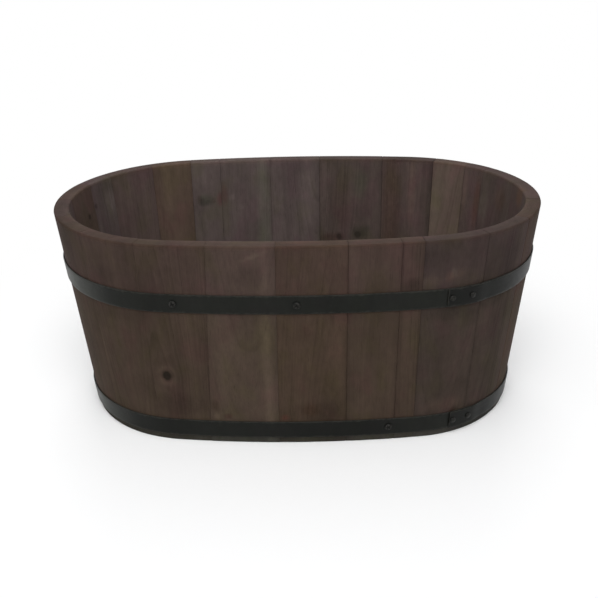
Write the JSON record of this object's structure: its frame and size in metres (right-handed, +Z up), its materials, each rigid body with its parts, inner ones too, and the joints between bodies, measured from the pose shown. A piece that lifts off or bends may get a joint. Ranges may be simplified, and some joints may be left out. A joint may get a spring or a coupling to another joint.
{
  "type": "wooden barrel planter",
  "caption": "Oval wooden barrel planter of upright staves held by two riveted steel hoops, open at the top, with a drained plank base.",
  "frame": {"origin": "on the floor under the middle of the tub", "axes": "+X along the oval's length, to the right in the picture, +Y from the front to the back, +Z up"},
  "size_m": [0.5594, 0.3354, 0.248],
  "materials": {
    "stave_wood": "matte",
    "base_wood": "matte",
    "hoop_steel": "satin",
    "fastener_steel": "satin"
  },
  "bodies": {
    "root": {"stave_01": "stave_wood", "stave_02": "stave_wood", "stave_03": "stave_wood", "stave_04": "stave_wood", "stave_05": "stave_wood", "stave_06": "stave_wood", "stave_07": "stave_wood", "stave_08": "stave_wood", "stave_09": "stave_wood", "stave_10": "stave_wood", "stave_11": "stave_wood", "stave_12": "stave_wood", "stave_13": "stave_wood", "stave_14": "stave_wood", "stave_15": "stave_wood", "stave_16": "stave_wood", "stave_17": "stave_wood", "stave_18": "stave_wood", "stave_19": "stave_wood", "stave_20": "stave_wood", "stave_21": "stave_wood", "stave_22": "stave_wood", "stave_23": "stave_wood", "stave_24": "stave_wood", "base_board_1": "base_wood", "base_board_2": "base_wood", "base_board_3": "base_wood", "base_board_4": "base_wood", "hoop_upper": "hoop_steel", "hoop_lower": "hoop_steel", "upper_screw_01": "fastener_steel", "upper_screw_02": "fastener_steel", "upper_screw_03": "fastener_steel", "upper_screw_04": "fastener_steel", "upper_screw_05": "fastener_steel", "upper_screw_06": "fastener_steel", "upper_screw_07": "fastener_steel", "upper_screw_08": "fastener_steel", "upper_screw_09": "fastener_steel", "lower_screw_01": "fastener_steel", "lower_screw_02": "fastener_steel", "lower_screw_03": "fastener_steel", "lower_screw_04": "fastener_steel", "lower_screw_05": "fastener_steel", "lower_screw_06": "fastener_steel", "upper_rivet_1": "fastener_steel", "upper_rivet_2": "fastener_steel", "lower_rivet_1": "fastener_steel", "lower_rivet_2": "fastener_steel"}
  },
  "joints": []
}
